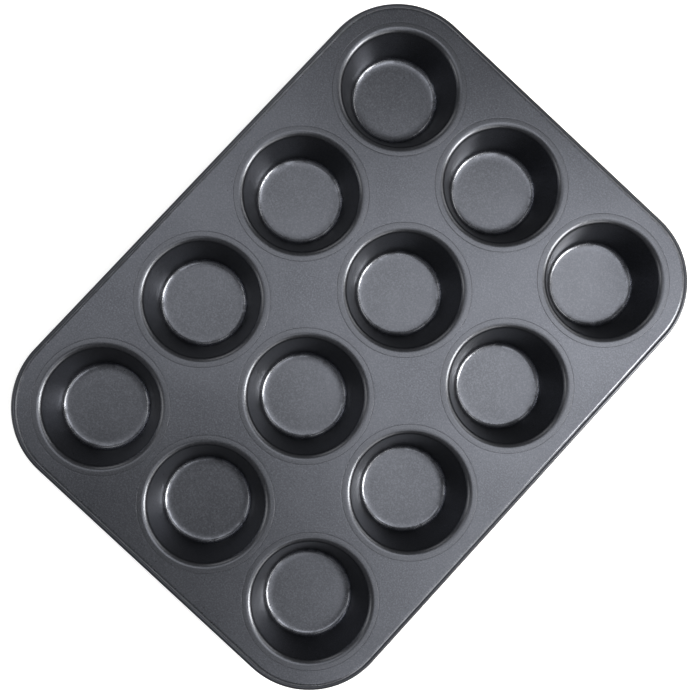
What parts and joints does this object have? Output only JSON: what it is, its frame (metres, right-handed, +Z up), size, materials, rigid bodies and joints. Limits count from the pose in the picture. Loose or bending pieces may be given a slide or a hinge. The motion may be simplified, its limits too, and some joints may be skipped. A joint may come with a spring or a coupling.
{
  "type": "muffin tin",
  "caption": "Muffin tin: a dark non-stick steel deck with rounded corners and a rolled, wired rim, holding a grid of tapered round cups, each flanged on top and seamed below.",
  "frame": {"origin": "middle of the footprint, on the surface the tin stands on, level with the undersides of the cups", "axes": "+Z up, out of the cups' mouths; +Y along the long side (four rows of cups); +X across the short side (three columns of cups)"},
  "size_m": [0.267, 0.357, 0.0309],
  "materials": {
    "deck_coating": "satin",
    "cup_coating": "satin",
    "bare_wire": "satin"
  },
  "bodies": {
    "root": {"deck": "deck_coating", "rim_wire": "bare_wire", "cup_row1_left": "cup_coating", "cup_row1_middle": "cup_coating", "cup_row1_right": "cup_coating", "cup_row2_left": "cup_coating", "cup_row2_middle": "cup_coating", "cup_row2_right": "cup_coating", "cup_row3_left": "cup_coating", "cup_row3_middle": "cup_coating", "cup_row3_right": "cup_coating", "cup_row4_left": "cup_coating", "cup_row4_middle": "cup_coating", "cup_row4_right": "cup_coating"}
  },
  "joints": []
}
